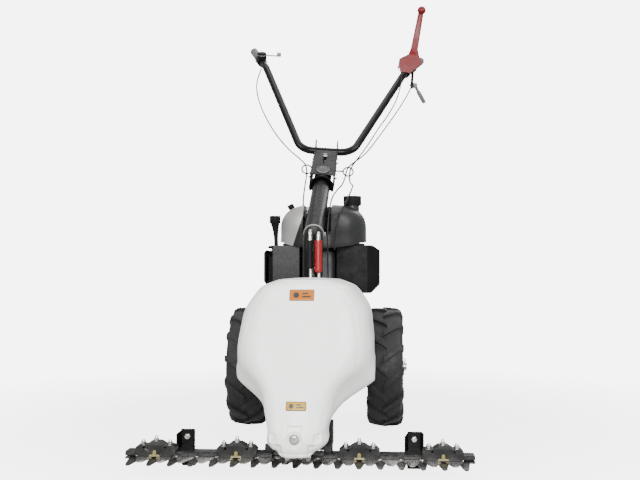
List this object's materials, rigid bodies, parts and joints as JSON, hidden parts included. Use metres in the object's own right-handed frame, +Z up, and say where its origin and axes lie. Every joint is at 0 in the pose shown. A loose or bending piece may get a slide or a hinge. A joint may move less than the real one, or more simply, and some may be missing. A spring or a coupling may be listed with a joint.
{
  "type": "brush mower",
  "caption": "Walk-behind brush mower: front sickle bar with finger comb under a nose hood, two lugged wheels, upright-shaft engine, sloping column and wide handlebar.",
  "frame": {"origin": "on the ground under the middle of the machine's length and width", "axes": "+Z up, -Y is the machine's front, where the cutter bar is; +X is the viewer's right from the front"},
  "size_m": [0.868, 1.7562, 1.5757],
  "materials": {
    "bar_steel": "satin black paint, worn at the edges",
    "comb_steel": "satin dark paint, worn to metal at the tips",
    "blade_steel": "ground blade steel with fine scratches",
    "holddown_iron": "satin black casting",
    "tip_yellow": "yellow paint",
    "zinc": "bright zinc plate",
    "black_steel": "gloss black enamel",
    "bracket_grey": "satin dark grey powder coat",
    "gear_cast": "black painted casting",
    "machined": "machined steel",
    "bronze": "sintered bronze",
    "tyre_rubber": "matte tyre rubber",
    "rim_paint": "satin black rim paint",
    "hood_plastic": "cream moulded plastic",
    "black_plastic": "moulded black plastic",
    "red_plastic": "red moulded plastic",
    "red_paint": "red paint",
    "cowl_plastic": "grey moulded plastic",
    "engine_alu": "die-cast aluminium",
    "grip_rubber": "soft grey-black rubber",
    "cable_jacket": "black cable jacket",
    "tie_white": "white nylon",
    "lever_grey": "grey-green moulded plastic"
  },
  "bodies": {
    "chassis": {"cutter_bar_plate": "bar_steel", "finger_comb": "comb_steel", "blade_hold_downs": "holddown_iron", "hold_down_tips": "tip_yellow", "hold_down_fasteners": "zinc", "skid_brackets": "black_steel", "skid_shoes": "black_steel", "frame_bolts": "zinc", "bar_carrier": "gear_cast", "knife_drive_housing": "gear_cast", "gearbox_housing": "gear_cast", "gearbox_sump_cover": "gear_cast", "axle_bushings": "bronze", "front_hood": "hood_plastic", "column_base": "gear_cast", "column_tube": "black_steel", "column_clip": "tie_white", "bell_housing": "engine_alu", "engine_block": "engine_alu", "spark_plug_cap": "black_plastic", "engine_cowl": "cowl_plastic", "cooling_grille": "black_plastic", "oil_filler_tube": "black_plastic", "air_filter_box": "black_plastic", "muffler_guard": "black_steel", "muffler": "black_steel", "throttle_cable": "cable_jacket", "clutch_cable": "cable_jacket", "deadman_cable": "cable_jacket", "handlebar_bracket": "bracket_grey", "cable_guide_rings": "black_steel"},
    "drive_wheels": {"axle_shaft": "machined", "left_tyre": "tyre_rubber", "right_tyre": "tyre_rubber", "wheel_rims": "rim_paint", "wheel_hubs": "rim_paint", "wheel_fasteners": "zinc"},
    "knife": {"knife_bar": "machined", "knife_sections": "blade_steel", "knife_head": "machined"},
    "knife_crank": {"knife_crank": "machined"},
    "engine_rotor": {"crankshaft": "machined", "clutch_drum": "machined", "flywheel_fan": "engine_alu"},
    "handlebar": {"handlebar_tube": "black_steel", "handle_grips": "grip_rubber", "throttle_housing": "black_plastic", "deadman_bracket": "black_steel", "clutch_perch": "black_plastic", "lever_pins": "zinc"},
    "throttle_lever": {"throttle_lever": "zinc"},
    "deadman_lever": {"deadman_lever": "red_paint"},
    "clutch_lever": {"clutch_lever": "lever_grey"},
    "drive_pull_lever": {"drive_lever_rod": "zinc", "drive_lever_sleeve": "black_plastic"},
    "knife_pull_lever": {"knife_lever_rod": "zinc", "knife_lever_sleeve": "red_plastic"},
    "fuel_cap": {"fuel_cap": "black_plastic"},
    "oil_cap": {"oil_cap": "black_plastic"},
    "recoil_handle": {"recoil_handle": "black_plastic"}
  },
  "joints": [
    {"name": "drive_wheels_spin", "type": "hinge", "parent": "chassis", "child": "drive_wheels", "pos_m": [0, -0.1066, 0.19], "axis": [1, 0, 0], "continuous": true},
    {"name": "knife_stroke", "type": "slide", "parent": "chassis", "child": "knife", "axis": [1, 0, 0], "range_m": [-0.0254, 0.0254]},
    {"name": "knife_crank_spin", "type": "hinge", "parent": "chassis", "child": "knife_crank", "pos_m": [0, -0.7566, 0.1], "axis": [0, 0, 1], "continuous": true},
    {"name": "engine_spin", "type": "hinge", "parent": "chassis", "child": "engine_rotor", "pos_m": [0, 0.0034, 0.4], "axis": [0, 0, 1], "continuous": true},
    {"name": "handlebar_tilt", "type": "hinge", "parent": "chassis", "child": "handlebar", "pos_m": [0.0016, 0.33343, 0.94495], "axis": [0.9973, 0.0336, -0.0651], "range_deg": [-15, 20], "deforming": ["throttle_cable", "clutch_cable", "deadman_cable"]},
    {"name": "throttle_turn", "type": "hinge", "parent": "handlebar", "child": "throttle_lever", "pos_m": [-0.29251, 0.68716, 1.40037], "axis": [0.0732, -0.4683, 0.8805], "range_deg": [-10, 45]},
    {"name": "deadman_press", "type": "hinge", "parent": "handlebar", "child": "deadman_lever", "pos_m": [0.31676, 0.66078, 1.3339], "axis": [0.9973, 0.0336, -0.0651], "range_deg": [-70, 0], "stiffness_Nm_per_rad": 1.2, "springref_deg": 51.57},
    {"name": "clutch_squeeze", "type": "hinge", "parent": "handlebar", "child": "clutch_lever", "pos_m": [0.35008, 0.75301, 1.27752], "axis": [0.9973, 0.0336, -0.0651], "range_deg": [0, 22], "stiffness_Nm_per_rad": 0.6, "springref_deg": -28.65},
    {"name": "drive_pull", "type": "slide", "parent": "chassis", "child": "drive_pull_lever", "axis": [0, 0, 1], "range_m": [0, 0.025]},
    {"name": "knife_pull", "type": "slide", "parent": "chassis", "child": "knife_pull_lever", "axis": [0, 0, 1], "range_m": [0, 0.025]},
    {"name": "fuel_cap_turn", "type": "hinge", "parent": "chassis", "child": "fuel_cap", "pos_m": [0.11, 0.0034, 0.72], "axis": [0, 0, 1], "range_deg": [0, 90]},
    {"name": "oil_cap_turn", "type": "hinge", "parent": "chassis", "child": "oil_cap", "pos_m": [-0.146, -0.0506, 0.66], "axis": [0, 0, 1], "range_deg": [0, 180]},
    {"name": "recoil_pull", "type": "slide", "parent": "chassis", "child": "recoil_handle", "axis": [-0.5, 0, 0.866], "range_m": [0, 0.06], "stiffness_N_per_m": 40, "springref_m": -0.05}
  ]
}
